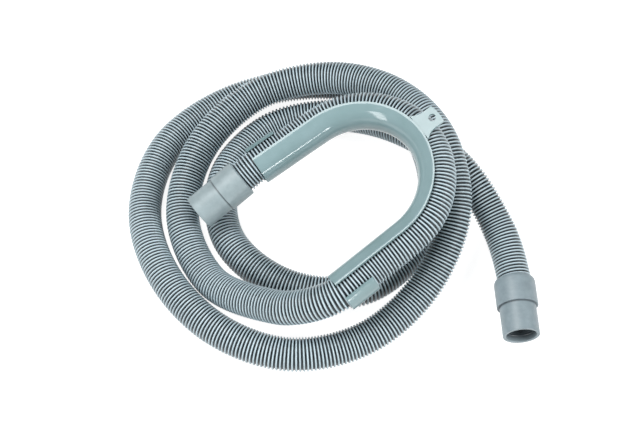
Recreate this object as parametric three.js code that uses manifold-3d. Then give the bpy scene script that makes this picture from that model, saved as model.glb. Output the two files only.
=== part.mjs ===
// Washing machine drain hose: a corrugated hose coiled on the floor, with a moulded cuff on each end
// and a clip-on guide that holds one bend in a U. Millimetres, +Z up.
import * as THREE from 'three';
import { mergeVertices } from 'three/addons/utils/BufferGeometryUtils.js';
import Module from 'manifold-3d';

// Hose
const hoseDiameter = 25;
const hoseBore = 20;
const floorClearance = 0.3;

// Both cuffs: the mouth that goes over the spigot, and the seat that the hose stops at
const cuffBore = 22;
const cuffSeatDepth = 24;
const cuffFit = 0.3;
const cuffChamfer = 0.6;

// Cuff at the guide's end of the hose
const nearMouthDiameter = 26.6;
const nearMouthLength = 22.3;
const nearSleeveDiameter = 28.6;
const nearSleeveLength = 18.7;
const nearSleeveRound = 0.5;

// Cuff at the free end of the hose
const farMouthDiameter = 26.8;
const farMouthLength = 22.7;
const farSleeveDiameter = 30.2;
const farSleeveLength = 24.3;
const farSleeveRound = 2.6;

// Guide: a channel round the inner side of the bend, with a spring clip at the end of each leg
const bendRadius = 58;
const upperLegLength = 53.5;
const lowerLegLength = 61;
const legSplay = 2;
const channelFit = 0.5;
const channelWall = 2;
const rimAngle = -5;
const channelAngle = -173;
const clipAngle = -317;
const clipLength = 24;
const clipExtra = 0.15;

// Lip along the rim: it stands a little above the channel and slopes down to the inner side
const lipOverhang = 0.3;
const lipRise = 0.6;
const lipTop = 1.4;
const lipSlope = 3.2;

// Tab on the guide's rim, with the hole for a tie
const tabReach = 16.2;
const tabWidth = 15.6;
const tabRootWidth = 23;
const tabCornerRadius = 1.6;
const tabHoleDiameter = 5.4;
const tabHoleInset = 5.7;

// Where the pieces lie
const guideCentre = new THREE.Vector3(28, -14.8, 70.3);
const guideYaw = 34;
const guidePitch = 14.5;
const nearMouth = new THREE.Vector3(-89, -22, 39);
const nearHeading = new THREE.Vector3(-57, 0, 53);
const farMouth = new THREE.Vector3(145, -110, 14.5);
const farHeading = new THREE.Vector3(142, -64, 16.5);
const middle = new THREE.Vector3(7.04, -6.42, 0.165);

// Facets
const hoseSides = 12;
const arcPoints = 9;
const bendSteps = 30;
const wallStep = 12;
const cuffSegments = 48;

const hoseRadius = hoseDiameter / 2;
const channelInner = hoseRadius + channelFit;
const channelOuter = channelInner + channelWall;
const lying = hoseRadius + floorClearance;
const degrees = Math.PI / 180;

// The hose's free stretch, from the guide's lower leg to the cuff at the free end
const freeRoute = [
  // down from the guide to the floor, and round the left side
  [-0, -101, 50],
  [-17, -101, 42],
  [-32, -97, 35],
  [-79, -67, 16],
  [-103, -12, 16],
  // over the turns at the top, highest beside the guide
  [-90, 45, 25],
  [-48, 85, 36],
  [8, 93, 47],
  [57, 70, 59],
  [89, 26, 64],
  [98, -26, 48],
  [77, -74, 26],
  // the widest turn, flat on the floor
  [34, -111, 14],
  [-21, -124, lying],
  [-75, -104, lying],
  [-115, -60, lying],
  [-132, -5, lying],
  [-118, 51, 14],
  [-78, 90, lying],
  [-26, 109, lying],
  [27, 107, lying],
  // the innermost turn, under the guide
  [70, 75, lying],
  [87, 23, lying],
  [73, -33, lying],
  [31, -71, lying],
  [-25, -68, lying],
  [-68, -30, lying],
  [-72, 26, lying],
  // over the innermost turn and out to the free end
  [-37, 68, 15],
  [16, 74, 23],
  [64, 52, 36],
  [105, 17, 37],
  [133, -27, 22],
];

// A material in the part's own colour.
function finish(color, roughness) {
  return new THREE.MeshStandardMaterial({ color, roughness, metalness: 0 });
}

// A point on a line from one point towards another.
function along(from, towards, distance) {
  const step = towards.clone().sub(from).normalize();
  return from.clone().addScaledVector(step, distance);
}

// The guide's place, as a group that its mesh hangs in.
function guideFrame() {
  const frame = new THREE.Group();
  frame.position.copy(guideCentre);
  frame.rotation.set(0, -guidePitch * degrees, guideYaw * degrees, 'ZYX');
  frame.updateMatrix();
  return frame;
}

// The line down the middle of the guide's channel, at t from 0 on the upper leg to 1 on the lower.
class GuideLine extends THREE.Curve {
  constructor() {
    super();
    this.arc = (90 - legSplay) * degrees;
    this.legShare = 1 / (bendSteps + 2);
  }

  getPoint(t, target = new THREE.Vector3()) {
    const onLeg = this.legShare;
    if (t < onLeg) {
      return this.onLeg(1, upperLegLength * (1 - t / onLeg), target);
    }
    if (t > 1 - onLeg) {
      return this.onLeg(-1, lowerLegLength * (1 - (1 - t) / onLeg), target);
    }
    const share = (t - onLeg) / (1 - 2 * onLeg);
    const angle = this.arc * (1 - 2 * share);
    return target.set(bendRadius * Math.cos(angle), bendRadius * Math.sin(angle), 0);
  }

  // A point on a leg, at a distance from the bend; side is 1 for the upper leg and -1 for the lower.
  onLeg(side, distance, target = new THREE.Vector3()) {
    const x = bendRadius * Math.cos(this.arc) - distance * Math.sin(this.arc);
    const y = bendRadius * Math.sin(this.arc) + distance * Math.cos(this.arc);
    return target.set(x, side * y, 0);
  }

  getUtoTmapping(u) {
    return u;
  }
}

// The hose's own points in the guide, in the guide's frame.
function routeInGuide() {
  const line = new GuideLine();
  const upper = [upperLegLength, upperLegLength / 2].map((d) => line.onLeg(1, d));
  const lower = [lowerLegLength / 2, lowerLegLength].map((d) => line.onLeg(-1, d));
  const bend = [];
  for (let i = 0; i < arcPoints; i += 1) {
    const angle = line.arc * (1 - (2 * i) / (arcPoints - 1));
    bend.push(new THREE.Vector3(bendRadius * Math.cos(angle), bendRadius * Math.sin(angle), 0));
  }
  return [...upper, ...bend, ...lower];
}

// The hose's line, from its seat in one cuff to its seat in the other. Straight stretches take one
// step and curved ones two.
class HoseLine extends THREE.Curve {
  constructor() {
    super();
    const frame = guideFrame();
    const nearEnd = nearMouthLength + nearSleeveLength;
    const farEnd = farMouthLength + farSleeveLength;
    const near = [cuffSeatDepth + cuffFit, nearEnd];
    const far = [farEnd, cuffSeatDepth + cuffFit];
    const inGuide = routeInGuide().map((point) => point.applyMatrix4(frame.matrix));
    const points = [
      ...near.map((distance) => along(nearMouth, nearHeading, distance)),
      ...inGuide,
      ...freeRoute.map(([x, y, z]) => new THREE.Vector3(x, y, z)),
      ...far.map((distance) => along(farMouth, farHeading, distance)),
    ];
    this.curve = new THREE.CatmullRomCurve3(points, false, 'centripetal');
    const last = points.length - 1;
    const guideStart = near.length;
    const guideEnd = guideStart + inGuide.length - 1;
    this.stops = [0];
    for (let i = 0; i < last; i += 1) {
      const inCuff = i === 0 || i === last - 1;
      const onLeg = i === guideStart || i === guideEnd - 1;
      if (!inCuff && !onLeg) {
        this.stops.push((i + 0.5) / last);
      }
      this.stops.push((i + 1) / last);
    }
  }

  getPoint(t, target = new THREE.Vector3()) {
    return this.curve.getPoint(t, target);
  }

  getUtoTmapping(u) {
    const steps = this.stops.length - 1;
    const step = Math.min(Math.floor(u * steps + 1e-9), steps - 1);
    const share = u * steps - step;
    return this.stops[step] + (this.stops[step + 1] - this.stops[step]) * share;
  }
}

// A ring with flat sides, for the hose's section.
function ringShape(outer, inner, sides) {
  const corners = (radius) => {
    const list = [];
    for (let i = 0; i < sides; i += 1) {
      const angle = (2 * Math.PI * i) / sides;
      list.push(new THREE.Vector2(radius * Math.cos(angle), radius * Math.sin(angle)));
    }
    return list;
  };
  const shape = new THREE.Shape(corners(outer));
  shape.holes.push(new THREE.Path(corners(inner).reverse()));
  return shape;
}

function makeHose() {
  const line = new HoseLine();
  const geometry = new THREE.ExtrudeGeometry(ringShape(hoseRadius, hoseBore / 2, hoseSides), {
    steps: line.stops.length - 1,
    bevelEnabled: false,
    extrudePath: line,
  });
  const hose = new THREE.Mesh(geometry, finish(0x9fb0b4, 0.55));
  hose.name = 'hose';
  return hose;
}

// A cuff, turned about its own axis with the mouth at the bottom.
function makeCuff(name, mouth, heading, size) {
  const bore = cuffBore / 2;
  const socket = hoseRadius + cuffFit;
  const outerMouth = size.mouthDiameter / 2;
  const outerSleeve = size.sleeveDiameter / 2;
  const end = size.mouthLength + size.sleeveLength;
  const profile = [
    new THREE.Vector2(bore, cuffChamfer),
    new THREE.Vector2(bore + cuffChamfer, 0),
    new THREE.Vector2(outerMouth - cuffChamfer / 2, 0),
    new THREE.Vector2(outerMouth, cuffChamfer / 2),
    new THREE.Vector2(outerMouth, size.mouthLength),
    new THREE.Vector2(outerSleeve - cuffChamfer / 2, size.mouthLength),
    new THREE.Vector2(outerSleeve, size.mouthLength + cuffChamfer / 2),
  ];
  const wall = outerSleeve - socket;
  const roundWidth = Math.min(size.sleeveRound, wall * 0.7);
  const roundSteps = 5;
  for (let i = 0; i <= roundSteps; i += 1) {
    const angle = (90 * degrees * i) / roundSteps;
    const radius = outerSleeve - roundWidth * (1 - Math.cos(angle));
    const height = end - size.sleeveRound * (1 - Math.sin(angle));
    profile.push(new THREE.Vector2(radius, height));
  }
  profile.push(new THREE.Vector2(socket, end));
  profile.push(new THREE.Vector2(socket, cuffSeatDepth));
  profile.push(new THREE.Vector2(bore, cuffSeatDepth));
  profile.push(profile[0].clone());
  const cuff = new THREE.Mesh(new THREE.LatheGeometry(profile, cuffSegments), finish(0x8d9ba1, 0.6));
  cuff.name = name;
  cuff.position.copy(mouth);
  const axis = heading.clone().sub(mouth).normalize();
  cuff.quaternion.setFromUnitVectors(new THREE.Vector3(0, 1, 0), axis);
  return cuff;
}

// The guide's section between two angles. An angle is measured from straight up, positive towards
// the outside of the bend; the extrusion takes the section's x downwards and its y outwards. extra
// makes the wall thicker on both faces.
function wallShape(fromAngle, toAngle, extra = 0) {
  const shape = new THREE.Shape();
  const steps = Math.ceil(Math.abs(toAngle - fromAngle) / wallStep);
  const place = (radius, angle) => {
    const out = radius * Math.sin(angle * degrees);
    const up = radius * Math.cos(angle * degrees);
    return [-up, out];
  };
  const angleAt = (i) => Math.max(fromAngle - wallStep * i, toAngle);
  shape.moveTo(...place(channelOuter + extra, fromAngle));
  for (let i = 1; i <= steps; i += 1) {
    shape.lineTo(...place(channelOuter + extra, angleAt(i)));
  }
  for (let i = steps; i >= 0; i -= 1) {
    shape.lineTo(...place(channelInner - extra, angleAt(i)));
  }
  return shape;
}

// The section of the lip, from the rim's edge to where it runs out on the inner side.
function lipShape() {
  const edge = channelOuter * Math.sin(rimAngle * degrees) + lipOverhang;
  const end = edge - lipTop - lipSlope;
  const inWall = channelInner + channelWall / 2;
  const shape = new THREE.Shape();
  shape.moveTo(-inWall, edge);
  shape.lineTo(-channelOuter - lipRise, edge);
  shape.lineTo(-channelOuter - lipRise, edge - lipTop);
  shape.lineTo(-Math.sqrt(channelOuter ** 2 - end ** 2), end);
  shape.lineTo(-Math.sqrt(inWall ** 2 - end ** 2), end);
  return shape;
}

// The tab's outline over the hose: x outwards from the middle of the channel, y along the bend.
function tabShape() {
  const root = channelOuter * Math.sin(rimAngle * degrees);
  const half = tabWidth / 2;
  const rootHalf = tabRootWidth / 2;
  const flare = rootHalf - half;
  const corner = tabCornerRadius;
  const bulge = 0.7;
  const shape = new THREE.Shape();
  shape.moveTo(root, -rootHalf);
  shape.quadraticCurveTo(root + flare, -half - flare * 0.15, root + 2 * flare, -half);
  shape.lineTo(tabReach - corner - bulge, -half);
  shape.quadraticCurveTo(tabReach - bulge, -half, tabReach - bulge + 0.2, -half + corner);
  shape.quadraticCurveTo(tabReach + bulge, 0, tabReach - bulge + 0.2, half - corner);
  shape.quadraticCurveTo(tabReach - bulge, half, tabReach - corner - bulge, half);
  shape.lineTo(root + 2 * flare, half);
  shape.quadraticCurveTo(root + flare, half + flare * 0.15, root, rootHalf);
  const hole = new THREE.Path();
  hole.absarc(tabReach - tabHoleInset, 0, tabHoleDiameter / 2, 0, 2 * Math.PI, true);
  shape.holes.push(hole);
  return shape;
}

// A solid for the boolean tool, from a three.js geometry.
function solid(wasm, geometry) {
  const plain = geometry.clone();
  plain.deleteAttribute('normal');
  plain.deleteAttribute('uv');
  const merged = mergeVertices(plain, 1e-4);
  return new wasm.Manifold(new wasm.Mesh({
    numProp: 3,
    vertProperties: new Float32Array(merged.attributes.position.array),
    triVerts: new Uint32Array(merged.index.array),
  }));
}

// A three.js geometry, from a solid of the boolean tool.
function geometryOf(body) {
  const mesh = body.getMesh();
  const geometry = new THREE.BufferGeometry();
  geometry.setAttribute('position', new THREE.BufferAttribute(new Float32Array(mesh.vertProperties), 3));
  geometry.setIndex(new THREE.BufferAttribute(new Uint32Array(mesh.triVerts), 1));
  geometry.computeVertexNormals();
  return geometry;
}

// The C-shaped clip on the end of one leg.
function clipGeometry(line, side) {
  const end = side > 0 ? upperLegLength : lowerLegLength;
  const from = line.onLeg(side, side > 0 ? end : end - clipLength);
  const to = line.onLeg(side, side > 0 ? end - clipLength : end);
  return new THREE.ExtrudeGeometry(wallShape(rimAngle, clipAngle, clipExtra), {
    steps: 1,
    bevelEnabled: false,
    extrudePath: new THREE.LineCurve3(from, to),
  });
}

async function makeGuide() {
  const wasm = await Module();
  wasm.setup();
  const line = new GuideLine();
  const sweep = (shape) => new THREE.ExtrudeGeometry(shape, {
    steps: bendSteps + 2,
    bevelEnabled: false,
    extrudePath: line,
  });
  const tab = new THREE.ExtrudeGeometry(tabShape(), {
    depth: channelWall,
    bevelEnabled: false,
    curveSegments: 10,
  });
  tab.translate(bendRadius, 0, channelInner);
  const body = solid(wasm, sweep(wallShape(rimAngle, channelAngle)))
    .add(solid(wasm, sweep(lipShape())))
    .add(solid(wasm, clipGeometry(line, 1)))
    .add(solid(wasm, clipGeometry(line, -1)))
    .add(solid(wasm, tab));
  const guide = new THREE.Mesh(geometryOf(body), finish(0x96b2b6, 0.25));
  guide.name = 'hose_guide';
  return guide;
}

const guideGroup = guideFrame();
guideGroup.add(await makeGuide());

const drainHose = new THREE.Group();
drainHose.add(makeHose());
drainHose.add(makeCuff('cuff_near', nearMouth, nearHeading, {
  mouthDiameter: nearMouthDiameter,
  mouthLength: nearMouthLength,
  sleeveDiameter: nearSleeveDiameter,
  sleeveLength: nearSleeveLength,
  sleeveRound: nearSleeveRound,
}));
drainHose.add(makeCuff('cuff_far', farMouth, farHeading, {
  mouthDiameter: farMouthDiameter,
  mouthLength: farMouthLength,
  sleeveDiameter: farSleeveDiameter,
  sleeveLength: farSleeveLength,
  sleeveRound: farSleeveRound,
}));
drainHose.add(guideGroup);
drainHose.position.copy(middle).negate();

export default drainHose;
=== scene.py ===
"""Washing machine drain hose, dressed for its photograph: the ribbed hose in its coil, the two
moulded cuffs and the glossy guide. Metres, in the frame of the CAD part."""
import math

import bmesh
import bpy
import numpy as np
from mathutils import Euler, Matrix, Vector


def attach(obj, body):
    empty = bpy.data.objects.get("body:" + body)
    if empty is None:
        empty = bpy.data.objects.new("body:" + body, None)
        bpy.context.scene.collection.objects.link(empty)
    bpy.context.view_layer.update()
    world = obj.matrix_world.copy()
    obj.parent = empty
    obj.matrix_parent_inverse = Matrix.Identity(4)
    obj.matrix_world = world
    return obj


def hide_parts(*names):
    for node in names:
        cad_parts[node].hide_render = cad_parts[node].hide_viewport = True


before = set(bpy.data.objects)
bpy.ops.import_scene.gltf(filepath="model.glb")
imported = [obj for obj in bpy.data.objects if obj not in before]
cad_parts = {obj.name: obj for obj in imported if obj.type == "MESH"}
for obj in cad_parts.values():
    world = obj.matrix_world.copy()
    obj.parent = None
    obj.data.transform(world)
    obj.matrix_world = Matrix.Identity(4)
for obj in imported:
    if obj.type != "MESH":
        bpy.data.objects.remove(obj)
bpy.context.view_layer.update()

MM = 0.001
WHOLE_TURN = 2 * math.pi

# Hose, as in the CAD part
HOSE_RADIUS = 12.5 * MM
HOSE_BORE_RADIUS = 10 * MM
FLOOR_CLEARANCE = 0.3 * MM
CURVE_STEPS = 24

# Ribs: one pitch holds a valley and a crest
RIB_PITCH = 2.52 * MM
RIB_DEPTH = 1.6 * MM
RIB_SIDES = 22
# Each ring of a rib: its place along the pitch, and its height from valley 0 to crest 1
RIB_RINGS = [(0.0, 0.0), (0.2, 0.25), (0.38, 0.96), (0.62, 0.96), (0.8, 0.25)]
LINING_STEP = 18 * MM

# Cuffs, as in the CAD part, but for the shoulders and the far sleeve's trim
CUFF_BORE_RADIUS = 11 * MM
CUFF_SEAT_DEPTH = 24 * MM
CUFF_FIT = 0.3 * MM
CUFF_SIDES = 96
CUFF_SHARP_ANGLE = math.radians(35)
NEAR_CUFF = {"mouth": 13.3 * MM, "mouth_length": 22.3 * MM, "sleeve": 14.3 * MM,
             "sleeve_length": 18.7 * MM, "shoulder": 0.8 * MM, "trim": 0}
FAR_CUFF = {"mouth": 13.4 * MM, "mouth_length": 22.7 * MM, "sleeve": 15.1 * MM,
            "sleeve_length": 24.3 * MM, "shoulder": 3.6 * MM, "trim": 3 * MM}
BORE_RINGS = [5 * MM, 10 * MM, 15 * MM, 20 * MM]
BORE_RING_HEIGHT = 0.35 * MM
BORE_RING_HALF = 0.7 * MM
SHOULDER_STEPS = 7
SOCKET_LIP = 0.4 * MM

# Roundings of the cuffs' edges
BORE_EDGE_FILLET = 0.7 * MM
MOUTH_EDGE_FILLET = 0.45 * MM
STEP_CORNER_FILLET = 0.12 * MM
STEP_EDGE_FILLET = 0.3 * MM
SOCKET_EDGE_FILLET = 0.15 * MM
BORE_RING_FILLET = 0.2 * MM
FILLET_STEPS = 5

# Painted shade in the cuffs' colour: full in the bore, and less in the inner corner of the step,
# where it fades out between two points of the outline
BORE_SHADE = 1.0
BORE_SHADE_FROM = 1.5 * MM
BORE_SHADE_WITHIN = 0.1 * MM
STEP_SHADE = 0.8
STEP_SHADE_ENDS = 1.6 * MM
STEP_SHADE_FADES = 0.6 * MM
STEP_SHADE_ALONG = 0.65 * MM
STEP_SHADE_ACROSS = 0.4 * MM

# Guide
BEND_RADIUS = 58 * MM
UPPER_LEG = 53.5 * MM
LOWER_LEG = 61 * MM
LEG_SPLAY = math.radians(2)
BEND_STEPS = 90
CHANNEL_INNER = HOSE_RADIUS + 0.5 * MM
CHANNEL_OUTER = CHANNEL_INNER + 2 * MM
# Degrees round the hose, from straight up: the rim, the channel's lower edge, the clips' edge
RIM_ANGLE = -5
CHANNEL_ANGLE = -173
CLIP_ANGLE = -317
ANGLE_STEP = 4
CLIP_LENGTH = 24 * MM
LIP_OVERHANG = 0.3 * MM
LIP_RISE = 0.6 * MM
LIP_TOP = 1.4 * MM
LIP_SLOPE = 3.2 * MM
LIP_STEPS = 4
TAB_REACH = 16.2 * MM
TAB_WIDTH = 15.6 * MM
TAB_ROOT_WIDTH = 23 * MM
TAB_FLARE_BEND = 0.15
TAB_FLARE_STEPS = 8
TAB_CORNER = 1.6 * MM
TAB_CORNER_STEPS = 5
TAB_BULGE = 0.7 * MM
TAB_BULGE_START = 0.2 * MM
TAB_BULGE_STEPS = 5
TAB_LIFT = 0.2 * MM
TAB_HOLE_RADIUS = 2.7 * MM
TAB_HOLE_INSET = 5.7 * MM
TAB_HOLE_SIDES = 40
DRILL_MARGIN = 2 * MM
EDGE_BEVEL = 0.4 * MM
EDGE_BEVEL_SEGMENTS = 3
EDGE_BEVEL_ANGLE = math.radians(35)
FLAT_FACE_WEIGHT = 80

# Places, in the millimetres of the CAD part before its middle is taken to the origin
MIDDLE = Vector((7.04, -6.42, 0.165))
GUIDE_CENTRE = Vector((28, -14.8, 70.3))
GUIDE_TURN = Euler((0, math.radians(-14.5), math.radians(34)), "XYZ")
NEAR_MOUTH = Vector((-89, -22, 39))
NEAR_HEADING = Vector((-57, 0, 53))
FAR_MOUTH = Vector((145, -110, 14.5))
FAR_HEADING = Vector((142, -64, 16.5))
ARC_POINTS = 9
LYING = (HOSE_RADIUS + FLOOR_CLEARANCE) / MM

FREE_ROUTE = [
    # down from the guide to the floor, and round the left side
    (0, -101, 50),
    (-17, -101, 42),
    (-32, -97, 35),
    (-79, -67, 16),
    (-103, -12, 16),
    # over the turns at the top, highest beside the guide
    (-90, 45, 25),
    (-48, 85, 36),
    (8, 93, 47),
    (57, 70, 59),
    (89, 26, 64),
    (98, -26, 48),
    (77, -74, 26),
    # the widest turn, flat on the floor
    (34, -111, 14),
    (-21, -124, LYING),
    (-75, -104, LYING),
    (-115, -60, LYING),
    (-132, -5, LYING),
    (-118, 51, 14),
    (-78, 90, LYING),
    (-26, 109, LYING),
    (27, 107, LYING),
    # the innermost turn, under the guide
    (70, 75, LYING),
    (87, 23, LYING),
    (73, -33, LYING),
    (31, -71, LYING),
    (-25, -68, LYING),
    (-68, -30, LYING),
    (-72, 26, LYING),
    # over the innermost turn and out to the free end
    (-37, 68, 15),
    (16, 74, 23),
    (64, 52, 36),
    (105, 17, 37),
    (133, -27, 22),
]

# Camera, from the photograph: the middle of the coil seen from 60 degrees above the floor
CAMERA_ELEVATION = math.radians(60)
CAMERA_DISTANCE = 1190 * MM
CAMERA_FOCAL_PIXELS = 1560
IMAGE_WIDTH = 640
SENSOR_WIDTH = 36.0

# Colour ramps over noise run between these, because noise keeps near its middle
NOISE_LOW = 0.3
NOISE_HIGH = 0.7
WHITE = (1, 1, 1, 1)

# Stage
FLOOR_HALF = 3.0
FLOOR_DROP = 0.05 * MM
FLOOR_GREY = (0.5, 0.5, 0.5, 1)
FLOOR_GLOW = 0.91
WORLD_LIGHT = 0.1
WORLD_SEEN = 1.0
# Each lamp: its name, place, width, height and power
LAMPS = [
    ("overhead", (-0.45, 0.12, 1.18), 0.72, 0.72, 13),
    ("window", (-0.8, -0.8, 0.52), 0.26, 0.8, 5.5),
    ("low_front", (0.62, -1.08, 0.14), 0.24, 0.24, 3.2),
    ("front_right", (1.05, -0.5, 0.7), 0.5, 0.5, 9),
]


def place(point):
    """A point of the CAD part's own millimetres, in this scene's metres."""
    return (Vector(point) - MIDDLE) * MM


def linear(red, green, blue):
    """A colour written as 0 to 255 on screen, as a shader colour."""
    def channel(value):
        share = value / 255
        return share / 12.92 if share <= 0.04045 else ((share + 0.055) / 1.055) ** 2.4
    return (channel(red), channel(green), channel(blue), 1.0)


def quadratic(start, middle, end, t):
    """The point at t of a curve that leaves start and reaches end by way of middle."""
    return start * (1 - t) ** 2 + middle * 2 * t * (1 - t) + end * t ** 2


# Camera


def make_camera():
    data = bpy.data.cameras.new("camera")
    data.lens = CAMERA_FOCAL_PIXELS / IMAGE_WIDTH * SENSOR_WIDTH
    data.sensor_width = SENSOR_WIDTH
    camera = bpy.data.objects.new("camera", data)
    target = place((0, 0, 0))
    back = Vector((0, -math.cos(CAMERA_ELEVATION), math.sin(CAMERA_ELEVATION)))
    camera.location = target + back * CAMERA_DISTANCE
    camera.rotation_euler = (math.pi / 2 - CAMERA_ELEVATION, 0, 0)
    bpy.context.scene.collection.objects.link(camera)
    bpy.context.scene.camera = camera


# Lines


def guide_arc():
    """Half the angle that the guide's bend turns through."""
    return math.pi / 2 - LEG_SPLAY


def leg_point(side, distance):
    """A point on the guide's leg, in the guide's frame: side 1 is the upper leg, -1 the lower."""
    arc = guide_arc()
    x = BEND_RADIUS * math.cos(arc) - distance * math.sin(arc)
    y = BEND_RADIUS * math.sin(arc) + distance * math.cos(arc)
    return Vector((x, side * y, 0))


def bend_point(angle):
    """A point on the guide's bend, in the guide's frame."""
    return Vector((BEND_RADIUS * math.cos(angle), BEND_RADIUS * math.sin(angle), 0))


def from_guide(point):
    """A point of the guide's frame, in the scene."""
    turned = Vector(point)
    turned.rotate(GUIDE_TURN)
    return turned + place(GUIDE_CENTRE)


def hose_points():
    """The hose's points, from its seat in the near cuff to its seat in the far one."""
    near_axis = (NEAR_HEADING - NEAR_MOUTH).normalized()
    far_axis = (FAR_HEADING - FAR_MOUTH).normalized()
    near_end = NEAR_CUFF["mouth_length"] + NEAR_CUFF["sleeve_length"]
    far_end = FAR_CUFF["mouth_length"] + FAR_CUFF["sleeve_length"]
    seat = CUFF_SEAT_DEPTH + CUFF_FIT
    near = [place(NEAR_MOUTH) + near_axis * d for d in (seat, near_end)]
    far = [place(FAR_MOUTH) + far_axis * d for d in (far_end, seat)]
    arc = guide_arc()
    upper = [leg_point(1, d) for d in (UPPER_LEG, UPPER_LEG / 2)]
    bend = [bend_point(arc * (1 - 2 * i / (ARC_POINTS - 1))) for i in range(ARC_POINTS)]
    lower = [leg_point(-1, d) for d in (LOWER_LEG / 2, LOWER_LEG)]
    in_guide = [from_guide(point) for point in upper + bend + lower]
    return near + in_guide + [place(point) for point in FREE_ROUTE] + far


def smooth_line(points):
    """The centripetal curve through the points, as many close points."""
    given = np.array([tuple(point) for point in points])
    ends = np.vstack([2 * given[0] - given[1], given, 2 * given[-1] - given[-2]])
    line = []
    for i in range(1, len(ends) - 2):
        p0, p1, p2, p3 = ends[i - 1:i + 3]
        t1 = math.sqrt(np.linalg.norm(p1 - p0))
        t2 = t1 + math.sqrt(np.linalg.norm(p2 - p1))
        t3 = t2 + math.sqrt(np.linalg.norm(p3 - p2))
        for step in range(CURVE_STEPS):
            t = t1 + (t2 - t1) * step / CURVE_STEPS
            a1 = p0 + (p1 - p0) * t / t1
            a2 = p1 + (p2 - p1) * (t - t1) / (t2 - t1)
            a3 = p2 + (p3 - p2) * (t - t2) / (t3 - t2)
            b1 = a1 + (a2 - a1) * t / t2
            b2 = a2 + (a3 - a2) * (t - t1) / (t3 - t1)
            line.append(b1 + (b2 - b1) * (t - t1) / (t2 - t1))
    line.append(given[-1])
    return np.array(line)


class Line:
    """A line measured along its length, with a steady frame carried along it."""

    def __init__(self, points):
        self.points = points
        steps = np.linalg.norm(np.diff(points, axis=0), axis=1)
        self.distance = np.concatenate([[0], np.cumsum(steps)])
        self.length = float(self.distance[-1])
        tangents = np.gradient(points, self.distance, axis=0)
        self.tangents = tangents / np.linalg.norm(tangents, axis=1)[:, None]
        side = np.cross(self.tangents[0], (0.0, 0.0, 1.0))
        side /= np.linalg.norm(side)
        sides = [side]
        for tangent in self.tangents[1:]:
            side = side - tangent * side.dot(tangent)
            side = side / np.linalg.norm(side)
            sides.append(side)
        self.sides = np.array(sides)

    def at(self, distances):
        """Centres, tangents and sides at distances along the line."""
        found = []
        for table in (self.points, self.tangents, self.sides):
            columns = [np.interp(distances, self.distance, table[:, k]) for k in range(3)]
            found.append(np.stack(columns, axis=1))
        centres, tangents, sides = found
        tangents /= np.linalg.norm(tangents, axis=1)[:, None]
        sides -= tangents * (sides * tangents).sum(axis=1)[:, None]
        sides /= np.linalg.norm(sides, axis=1)[:, None]
        return centres, tangents, sides


# Meshes


def add_object(name, mesh):
    obj = bpy.data.objects.new(name, mesh)
    bpy.context.scene.collection.objects.link(obj)
    return obj


def rings_to_mesh(name, rings):
    """A mesh of quads from an array of rings of points, closed around and along."""
    count, sides = rings.shape[:2]
    row, column = np.meshgrid(np.arange(count), np.arange(sides), indexing="ij")
    next_row = (row + 1) % count
    next_column = (column + 1) % sides
    corners = [row * sides + column, row * sides + next_column,
               next_row * sides + next_column, next_row * sides + column]
    faces = np.stack(corners, axis=-1).reshape(-1, 4)
    mesh = bpy.data.meshes.new(name)
    mesh.vertices.add(count * sides)
    mesh.vertices.foreach_set("co", rings.reshape(-1))
    mesh.loops.add(faces.size)
    mesh.loops.foreach_set("vertex_index", faces.reshape(-1).astype(np.int32))
    mesh.polygons.add(len(faces))
    mesh.polygons.foreach_set("loop_start", np.arange(0, faces.size, 4, dtype=np.int32))
    mesh.polygons.foreach_set("use_smooth", np.ones(len(faces), dtype=bool))
    mesh.update()
    return mesh


def point_attribute(mesh, name, values):
    attribute = mesh.attributes.new(name, "FLOAT", "POINT")
    attribute.data.foreach_set("value", np.asarray(values, dtype=np.float32))


def filleted(corners):
    """A closed outline with its corners rounded. Each corner is (radius, height, fillet)."""
    outline = []
    for i, (x, y, fillet) in enumerate(corners):
        here = Vector((x, y))
        if fillet <= 0:
            outline.append(here)
            continue
        before = Vector(corners[i - 1][:2]) - here
        after = Vector(corners[(i + 1) % len(corners)][:2]) - here
        reach = min(fillet, before.length * 0.49, after.length * 0.49)
        start = here + before.normalized() * reach
        end = here + after.normalized() * reach
        for step in range(FILLET_STEPS + 1):
            outline.append(quadratic(start, here, end, step / FILLET_STEPS))
    return outline


# Hose


def make_hose(line):
    """The ribbed hose: rings from valley to crest and back, and a plain lining inside."""
    ribs = round(line.length / RIB_PITCH)
    pitch = line.length / ribs
    places, heights = [], []
    for rib in range(ribs):
        for share, height in RIB_RINGS:
            places.append((rib + share) * pitch)
            heights.append(height)
    places.append(line.length)
    heights.append(0.0)
    outer_radii = [HOSE_RADIUS - RIB_DEPTH * (1 - height) for height in heights]
    lining = list(np.linspace(line.length, 0, round(line.length / LINING_STEP)))
    all_places = np.array(places + lining)
    radii = np.array(outer_radii + [HOSE_BORE_RADIUS] * len(lining))
    centres, tangents, sides = line.at(all_places)
    ups = np.cross(tangents, sides)
    angles = np.arange(RIB_SIDES) * WHOLE_TURN / RIB_SIDES
    around = (sides[:, None, :] * np.cos(angles)[None, :, None]
              + ups[:, None, :] * np.sin(angles)[None, :, None])
    rings = centres[:, None, :] + around * radii[:, None, None]
    mesh = rings_to_mesh("hose_ribbed", rings)
    crest = np.array(heights + [0.0] * len(lining))
    point_attribute(mesh, "crest", np.repeat(crest, RIB_SIDES))
    point_attribute(mesh, "run", np.repeat(all_places, RIB_SIDES))
    hose = add_object("hose_ribbed", mesh)
    middles = np.arange(ribs + 1) * pitch
    path = [tuple(point) for point in line.at(middles)[0]]
    return hose, path


# Cuffs


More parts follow.
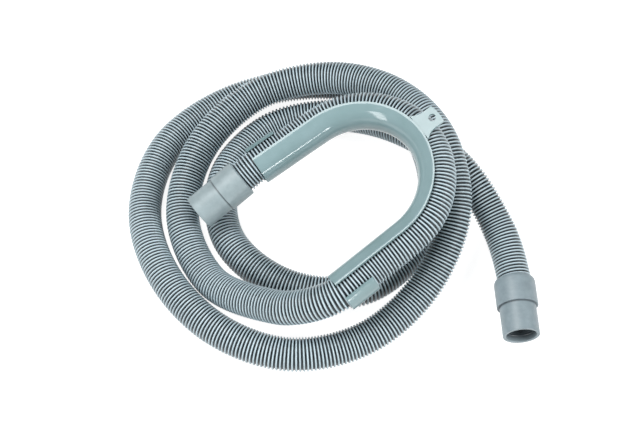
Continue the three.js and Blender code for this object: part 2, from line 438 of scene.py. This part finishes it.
def cuff_outline(size):
    """The cuff's section as (radius, height): up its outside, over the shoulder, down its bore."""
    end = size["mouth_length"] + size["sleeve_length"] - size["trim"]
    socket = HOSE_RADIUS + CUFF_FIT
    step = size["mouth_length"]
    corners = [
        (CUFF_BORE_RADIUS, 0, BORE_EDGE_FILLET),
        (size["mouth"], 0, MOUTH_EDGE_FILLET),
        (size["mouth"], step - STEP_SHADE_ENDS, 0),
        (size["mouth"], step - STEP_SHADE_FADES, 0),
        (size["mouth"], step, STEP_CORNER_FILLET),
        (size["sleeve"], step, STEP_EDGE_FILLET),
    ]
    lip = socket + SOCKET_LIP
    for k in range(SHOULDER_STEPS + 1):
        angle = math.pi / 2 * k / SHOULDER_STEPS
        corners.append((lip + (size["sleeve"] - lip) * math.cos(angle),
                        end - size["shoulder"] * (1 - math.sin(angle)), 0))
    corners += [
        (socket, end, SOCKET_EDGE_FILLET),
        (socket, CUFF_SEAT_DEPTH, 0),
        (CUFF_BORE_RADIUS, CUFF_SEAT_DEPTH, 0),
    ]
    for depth in reversed(BORE_RINGS):
        corners += [(CUFF_BORE_RADIUS, depth + BORE_RING_HALF, BORE_RING_FILLET),
                    (CUFF_BORE_RADIUS - BORE_RING_HEIGHT, depth, BORE_RING_FILLET),
                    (CUFF_BORE_RADIUS, depth - BORE_RING_HALF, BORE_RING_FILLET)]
    return filleted(corners)


def cuff_shade(point, size):
    """How much painted shade a point of the outline gets: the bore, and the step's inner corner.
    """
    if point.x < CUFF_BORE_RADIUS + BORE_SHADE_WITHIN and point.y > BORE_SHADE_FROM:
        return BORE_SHADE
    across = abs(point.x - size["mouth"])
    along = abs(point.y - size["mouth_length"])
    return STEP_SHADE if across < STEP_SHADE_ACROSS and along < STEP_SHADE_ALONG else 0.0


def make_cuff(name, mouth, heading, size):
    """A cuff turned about its own axis, with every edge slightly rounded."""
    outline = cuff_outline(size)
    axis = (heading - mouth).normalized()
    side = axis.cross(Vector((0, 0, 1))).normalized()
    up = side.cross(axis)
    start = place(mouth)
    rings = []
    for k in range(CUFF_SIDES):
        angle = WHOLE_TURN * k / CUFF_SIDES
        out = side * math.cos(angle) + up * math.sin(angle)
        rings.append([tuple(start + axis * point.y + out * point.x) for point in outline])
    mesh = rings_to_mesh(name, np.array(rings))
    point_attribute(mesh, "shade", [cuff_shade(point, size) for point in outline] * CUFF_SIDES)
    bm = bmesh.new()
    bm.from_mesh(mesh)
    bmesh.ops.recalc_face_normals(bm, faces=bm.faces)
    bm.to_mesh(mesh)
    bm.free()
    mesh.shade_smooth()
    mesh.set_sharp_from_angle(angle=CUFF_SHARP_ANGLE)
    return add_object(name, mesh)


# Guide


def guide_stations():
    """The channel from the upper leg's end to the lower leg's: points, outward directions, and
    whether a clip runs from there to the next."""
    arc = guide_arc()
    legs = []
    for side, leg in ((1, UPPER_LEG), (-1, LOWER_LEG)):
        out = Vector((math.cos(arc), side * math.sin(arc), 0))
        tip = (leg_point(side, leg), out, side > 0)
        clip_end = (leg_point(side, leg - CLIP_LENGTH), out, side < 0)
        legs.append([tip, clip_end] if side > 0 else [clip_end, tip])
    bend = []
    for i in range(BEND_STEPS + 1):
        angle = arc * (1 - 2 * i / BEND_STEPS)
        bend.append((bend_point(angle), Vector((math.cos(angle), math.sin(angle), 0)), False))
    return legs[0] + bend + legs[1]


def guide_section():
    """The wall's outer and inner points, (outwards, upwards), from the rim to the clip's edge."""
    def at(radius, angle):
        return (radius * math.sin(math.radians(angle)), radius * math.cos(math.radians(angle)))
    count = (RIM_ANGLE - CLIP_ANGLE) // ANGLE_STEP
    angles = [RIM_ANGLE - ANGLE_STEP * j for j in range(count + 1)]
    outer = [at(CHANNEL_OUTER, angle) for angle in angles]
    inner = [at(CHANNEL_INNER, angle) for angle in angles]
    edge = CHANNEL_OUTER * math.sin(math.radians(RIM_ANGLE)) + LIP_OVERHANG
    top = CHANNEL_OUTER + LIP_RISE
    slope_end = edge - LIP_TOP - LIP_SLOPE
    low = math.sqrt(CHANNEL_OUTER ** 2 - slope_end ** 2)
    outer[0] = (edge, top)
    for j in range(LIP_STEPS):
        share = j / (LIP_STEPS - 1)
        outer[1 + j] = (edge - LIP_TOP - LIP_SLOPE * share, top + (low - top) * share)
    return outer, inner


def guide_shell(stations):
    """The channel and both clips as one closed shell, in the guide's frame."""
    outer, inner = guide_section()
    channel_cells = (RIM_ANGLE - CHANNEL_ANGLE) // ANGLE_STEP
    bm = bmesh.new()
    made = {}

    def corner(layer, i, j):
        if (layer, i, j) not in made:
            centre, out, _ = stations[i]
            x, z = (outer if layer else inner)[j]
            made[layer, i, j] = bm.verts.new(centre + out * x + Vector((0, 0, z)))
        return made[layer, i, j]

    def filled(i, j):
        if not (0 <= i < len(stations) - 1 and 0 <= j < len(outer) - 1):
            return False
        return j < channel_cells or stations[i][2]

    for i in range(len(stations) - 1):
        for j in range(len(outer) - 1):
            if not filled(i, j):
                continue
            around = [(i, j), (i, j + 1), (i + 1, j + 1), (i + 1, j)]
            bm.faces.new([corner(1, *key) for key in around])
            bm.faces.new([corner(0, *key) for key in reversed(around)])
            beside = [(i - 1, j), (i, j + 1), (i + 1, j), (i, j - 1)]
            for k, other in enumerate(beside):
                if not filled(*other):
                    first, second = around[k], around[(k + 1) % 4]
                    bm.faces.new([corner(1, *second), corner(1, *first),
                                  corner(0, *first), corner(0, *second)])
    bmesh.ops.recalc_face_normals(bm, faces=bm.faces)
    return bm


def tab_outline():
    """The tab seen from above, x outwards from the middle of the channel."""
    root = CHANNEL_OUTER * math.sin(math.radians(RIM_ANGLE))
    half = TAB_WIDTH / 2
    flare = TAB_ROOT_WIDTH / 2 - half
    corner_start = TAB_REACH - TAB_CORNER - TAB_BULGE
    corner_middle = TAB_REACH - TAB_BULGE
    corner_end = TAB_REACH - TAB_BULGE + TAB_BULGE_START
    side = []
    for i in range(TAB_FLARE_STEPS + 1):
        t = i / TAB_FLARE_STEPS
        side.append((quadratic(root, root + flare, root + 2 * flare, t),
                     quadratic(half + flare, half + flare * TAB_FLARE_BEND, half, t)))
    for i in range(1, TAB_CORNER_STEPS + 1):
        t = i / TAB_CORNER_STEPS
        side.append((quadratic(corner_start, corner_middle, corner_end, t),
                     quadratic(half, half, half - TAB_CORNER, t)))
    last_x, last_y = side[-1]
    for i in range(1, TAB_BULGE_STEPS + 1):
        y = last_y * (1 - i / TAB_BULGE_STEPS)
        side.append((last_x + (TAB_REACH - last_x) * (1 - (y / last_y) ** 2), y))
    other = [(x, -y) for x, y in reversed(side[:-1])]
    return side + other


def prism(outline, low, high):
    """A closed upright solid on an outline, as a new bmesh."""
    bm = bmesh.new()
    bottom = [bm.verts.new((x, y, low)) for x, y in outline]
    top = [bm.verts.new((x, y, high)) for x, y in outline]
    for j in range(len(outline)):
        k = (j + 1) % len(outline)
        bm.faces.new((bottom[j], bottom[k], top[k], top[j]))
    bm.faces.new(bottom)
    bm.faces.new(top)
    bmesh.ops.recalc_face_normals(bm, faces=bm.faces)
    return bm


def combine(target, tool, operation):
    """Joins a second solid to the first, or cuts it away."""
    modifier = target.modifiers.new("join", "BOOLEAN")
    modifier.operation = operation
    modifier.solver = "EXACT"
    modifier.object = tool
    apply_modifiers(target)
    bpy.data.objects.remove(tool)


def apply_modifiers(obj):
    graph = bpy.context.evaluated_depsgraph_get()
    mesh = bpy.data.meshes.new_from_object(obj.evaluated_get(graph))
    obj.modifiers.clear()
    obj.data = mesh


def solid_object(name, bm):
    mesh = bpy.data.meshes.new(name)
    bm.to_mesh(mesh)
    bm.free()
    return add_object(name, mesh)


def make_guide():
    """The guide as one moulding, with its edges rounded."""
    guide = solid_object("guide_moulding", guide_shell(guide_stations()))
    outline = [(BEND_RADIUS + x, y) for x, y in tab_outline()]
    tab = prism(outline, CHANNEL_INNER + TAB_LIFT, CHANNEL_OUTER)
    combine(guide, solid_object("tab", tab), "UNION")
    hole = [(BEND_RADIUS + TAB_REACH - TAB_HOLE_INSET + TAB_HOLE_RADIUS * math.cos(a),
             TAB_HOLE_RADIUS * math.sin(a))
            for a in np.arange(TAB_HOLE_SIDES) * WHOLE_TURN / TAB_HOLE_SIDES]
    drill = prism(hole, CHANNEL_INNER - DRILL_MARGIN, CHANNEL_OUTER + DRILL_MARGIN)
    combine(guide, solid_object("drill", drill), "DIFFERENCE")
    guide.data.transform(GUIDE_TURN.to_matrix().to_4x4())
    for vertex in guide.data.vertices:
        vertex.co += place(GUIDE_CENTRE)
    bevel = guide.modifiers.new("edges", "BEVEL")
    bevel.width = EDGE_BEVEL
    bevel.segments = EDGE_BEVEL_SEGMENTS
    bevel.limit_method = "ANGLE"
    bevel.angle_limit = EDGE_BEVEL_ANGLE
    guide.data.shade_smooth()
    # plain smooth shading would bend the light on the flat tab
    flat_faces = guide.modifiers.new("flat_faces", "WEIGHTED_NORMAL")
    flat_faces.mode = "FACE_AREA"
    flat_faces.weight = FLAT_FACE_WEIGHT
    apply_modifiers(guide)
    return guide


# Materials


def new_material(name):
    """A new material, with its node tree and its shader."""
    material = bpy.data.materials.new(name)
    material.use_nodes = True
    tree = material.node_tree
    return material, tree, tree.nodes["Principled BSDF"]


def add_node(tree, kind, **settings):
    node = tree.nodes.new(kind)
    for key, value in settings.items():
        setattr(node, key, value)
    return node


def noise(tree, scale, detail, roughness=0.5):
    """Noise over the object's own coordinates."""
    coordinates = add_node(tree, "ShaderNodeTexCoord")
    texture = add_node(tree, "ShaderNodeTexNoise")
    texture.inputs["Scale"].default_value = scale
    texture.inputs["Detail"].default_value = detail
    texture.inputs["Roughness"].default_value = roughness
    tree.links.new(coordinates.outputs["Object"], texture.inputs["Vector"])
    return texture.outputs["Fac"]


def ramp(tree, factor, stops):
    """Colours spread over a factor. Each stop is (place, colour)."""
    node = add_node(tree, "ShaderNodeValToRGB")
    elements = node.color_ramp.elements
    elements[0].position, elements[0].color = stops[0]
    elements[1].position, elements[1].color = stops[-1]
    for position, color in stops[1:-1]:
        element = elements.new(position)
        element.color = color
    tree.links.new(factor, node.inputs["Fac"])
    return node.outputs["Color"]


def over_noise(tree, factor, low, high):
    """Two colours spread over the part of its range that noise fills."""
    return ramp(tree, factor, [(NOISE_LOW, low), (NOISE_HIGH, high)])


def multiply(tree, first, second):
    node = add_node(tree, "ShaderNodeMix", data_type="RGBA", blend_type="MULTIPLY")
    node.inputs["Factor"].default_value = 1.0
    tree.links.new(first, node.inputs["A"])
    tree.links.new(second, node.inputs["B"])
    return node.outputs["Result"]


def spread(tree, factor, low, high):
    """A factor from 0 to 1 spread between two values."""
    node = add_node(tree, "ShaderNodeMapRange")
    node.inputs["To Min"].default_value = low
    node.inputs["To Max"].default_value = high
    tree.links.new(factor, node.inputs["Value"])
    return node.outputs["Result"]


def bump(tree, shader, height, strength, distance):
    node = add_node(tree, "ShaderNodeBump")
    node.inputs["Strength"].default_value = strength
    node.inputs["Distance"].default_value = distance
    tree.links.new(height, node.inputs["Height"])
    tree.links.new(node.outputs["Normal"], shader.inputs["Normal"])


def hose_material():
    """Satin polypropylene, with painted shade that darkens the valleys nearly to black and a
    painted highlight that keeps the crests palest, and uneven rib by rib.
    """
    material, tree, shader = new_material("hose")
    crest = add_node(tree, "ShaderNodeAttribute", attribute_name="crest")
    # Painted shade and highlight on the ribs: near-black in the valleys, palest on the crests
    painted_rib_shading = ramp(tree, crest.outputs["Fac"], [
        (0.0, linear(12, 17, 19)), (0.25, linear(46, 57, 62)), (0.7, linear(160, 179, 187)),
        (1.0, linear(210, 229, 237))])
    cloudy = over_noise(tree, noise(tree, 35, 3.0), (0.93, 0.93, 0.93, 1), WHITE)
    color = multiply(tree, painted_rib_shading, cloudy)
    run = add_node(tree, "ShaderNodeAttribute", attribute_name="run")
    by_rib = add_node(tree, "ShaderNodeTexNoise", noise_dimensions="1D")
    by_rib.inputs["Scale"].default_value = 260
    by_rib.inputs["Detail"].default_value = 1.0
    tree.links.new(run.outputs["Fac"], by_rib.inputs["W"])
    uneven = over_noise(tree, by_rib.outputs["Fac"], (0.86, 0.86, 0.86, 1), WHITE)
    color = multiply(tree, color, uneven)
    tree.links.new(color, shader.inputs["Base Color"])
    tree.links.new(spread(tree, noise(tree, 400, 3.0), 0.32, 0.45), shader.inputs["Roughness"])
    bump(tree, shader, noise(tree, 1800, 2.0), 0.12, 0.0001)
    return material


def cuff_material(name, dark, light):
    """Matte moulded rubber-like plastic with a faint eroded texture, and painted shade in the bore
    and in the step's inner corner.
    """
    material, tree, shader = new_material(name)
    mottle = over_noise(tree, noise(tree, 160, 5.0, 0.6), linear(*dark), linear(*light))
    # Painted shade: the bore and the step's inner corner are darkened in the colour
    shade = add_node(tree, "ShaderNodeAttribute", attribute_name="shade")
    painted_shade = ramp(tree, shade.outputs["Fac"], [(0.0, WHITE), (1.0, (0.3, 0.3, 0.31, 1))])
    tree.links.new(multiply(tree, mottle, painted_shade), shader.inputs["Base Color"])
    tree.links.new(spread(tree, noise(tree, 700, 3.0), 0.38, 0.48), shader.inputs["Roughness"])
    bump(tree, shader, noise(tree, 2600, 4.0, 0.6), 0.25, 0.00012)
    return material


def guide_material():
    """Glossy polypropylene with the slight waves of a moulded wall."""
    material, tree, shader = new_material("guide")
    tone = over_noise(tree, noise(tree, 60, 2.0), linear(133, 159, 162), linear(141, 166, 170))
    tree.links.new(tone, shader.inputs["Base Color"])
    tree.links.new(spread(tree, noise(tree, 300, 3.0), 0.08, 0.14), shader.inputs["Roughness"])
    bump(tree, shader, noise(tree, 90, 2.0), 0.16, 0.0004)
    return material


# Stage


def make_floor():
    """A pale floor that a camera sees as white, with the object's soft shadow kept."""
    mesh = bpy.data.meshes.new("floor")
    corners = [(-FLOOR_HALF, -FLOOR_HALF, 0), (FLOOR_HALF, -FLOOR_HALF, 0),
               (FLOOR_HALF, FLOOR_HALF, 0), (-FLOOR_HALF, FLOOR_HALF, 0)]
    mesh.from_pydata(corners, [], [(0, 1, 2, 3)])
    floor = add_object("floor", mesh)
    floor.location.z = -FLOOR_DROP
    material, tree, shader = new_material("floor")
    shader.inputs["Base Color"].default_value = FLOOR_GREY
    shader.inputs["Roughness"].default_value = 0.9
    shader.inputs["Specular IOR Level"].default_value = 0.1
    path = add_node(tree, "ShaderNodeLightPath")
    seen = path.outputs["Is Camera Ray"]
    for ray in ("Is Glossy Ray", "Is Transmission Ray"):
        either = add_node(tree, "ShaderNodeMath", operation="MAXIMUM")
        tree.links.new(seen, either.inputs[0])
        tree.links.new(path.outputs[ray], either.inputs[1])
        seen = either.outputs[0]
    glow = add_node(tree, "ShaderNodeMath", operation="MULTIPLY")
    glow.inputs[1].default_value = FLOOR_GLOW
    tree.links.new(seen, glow.inputs[0])
    shader.inputs["Emission Color"].default_value = WHITE
    tree.links.new(glow.outputs[0], shader.inputs["Emission Strength"])
    mesh.materials.append(material)


def make_world():
    """A world that is white where the camera sees it, and lights the object only faintly."""
    world = bpy.data.worlds.new("studio")
    world.use_nodes = True
    tree = world.node_tree
    background = tree.nodes["Background"]
    background.inputs["Color"].default_value = WHITE
    path = add_node(tree, "ShaderNodeLightPath")
    strength = spread(tree, path.outputs["Is Camera Ray"], WORLD_LIGHT, WORLD_SEEN)
    tree.links.new(strength, background.inputs["Strength"])
    bpy.context.scene.world = world


def softbox(name, location, width, height, power):
    """A lamp that faces the middle of the coil."""
    data = bpy.data.lights.new(name, "AREA")
    data.shape = "RECTANGLE"
    data.size = width
    data.size_y = height
    data.energy = power
    lamp = bpy.data.objects.new(name, data)
    lamp.location = location
    lamp.rotation_euler = (-Vector(location)).to_track_quat("-Z", "Y").to_euler()
    bpy.context.scene.collection.objects.link(lamp)


# The scene

bpy.context.scene.view_settings.view_transform = "Standard"
make_camera()
hose_line = Line(smooth_line(hose_points()))
hose, hose_path = make_hose(hose_line)
near_cuff = make_cuff("near_cuff_moulding", NEAR_MOUTH, NEAR_HEADING, NEAR_CUFF)
far_cuff = make_cuff("far_cuff_moulding", FAR_MOUTH, FAR_HEADING, FAR_CUFF)
guide = make_guide()

# The two cuffs are one material in two copies: the far cuff's copy is darker, as painted shade
near_lit_copy = cuff_material("cuff_lit_copy", (144, 159, 163), (158, 174, 178))
far_shaded_copy = cuff_material("cuff_shaded_copy", (132, 147, 153), (146, 161, 168))

for piece, node, slot, material in (
        (hose, "hose", "hose", hose_material()),
        (near_cuff, "cuff_near", "cuff", near_lit_copy),
        (far_cuff, "cuff_far", "cuff", far_shaded_copy),
        (guide, "hose_guide", "guide", guide_material())):
    piece.data.materials.append(material)
    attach(piece, "root")
    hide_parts(node)

make_floor()
make_world()
for lamp_settings in LAMPS:
    softbox(*lamp_settings)
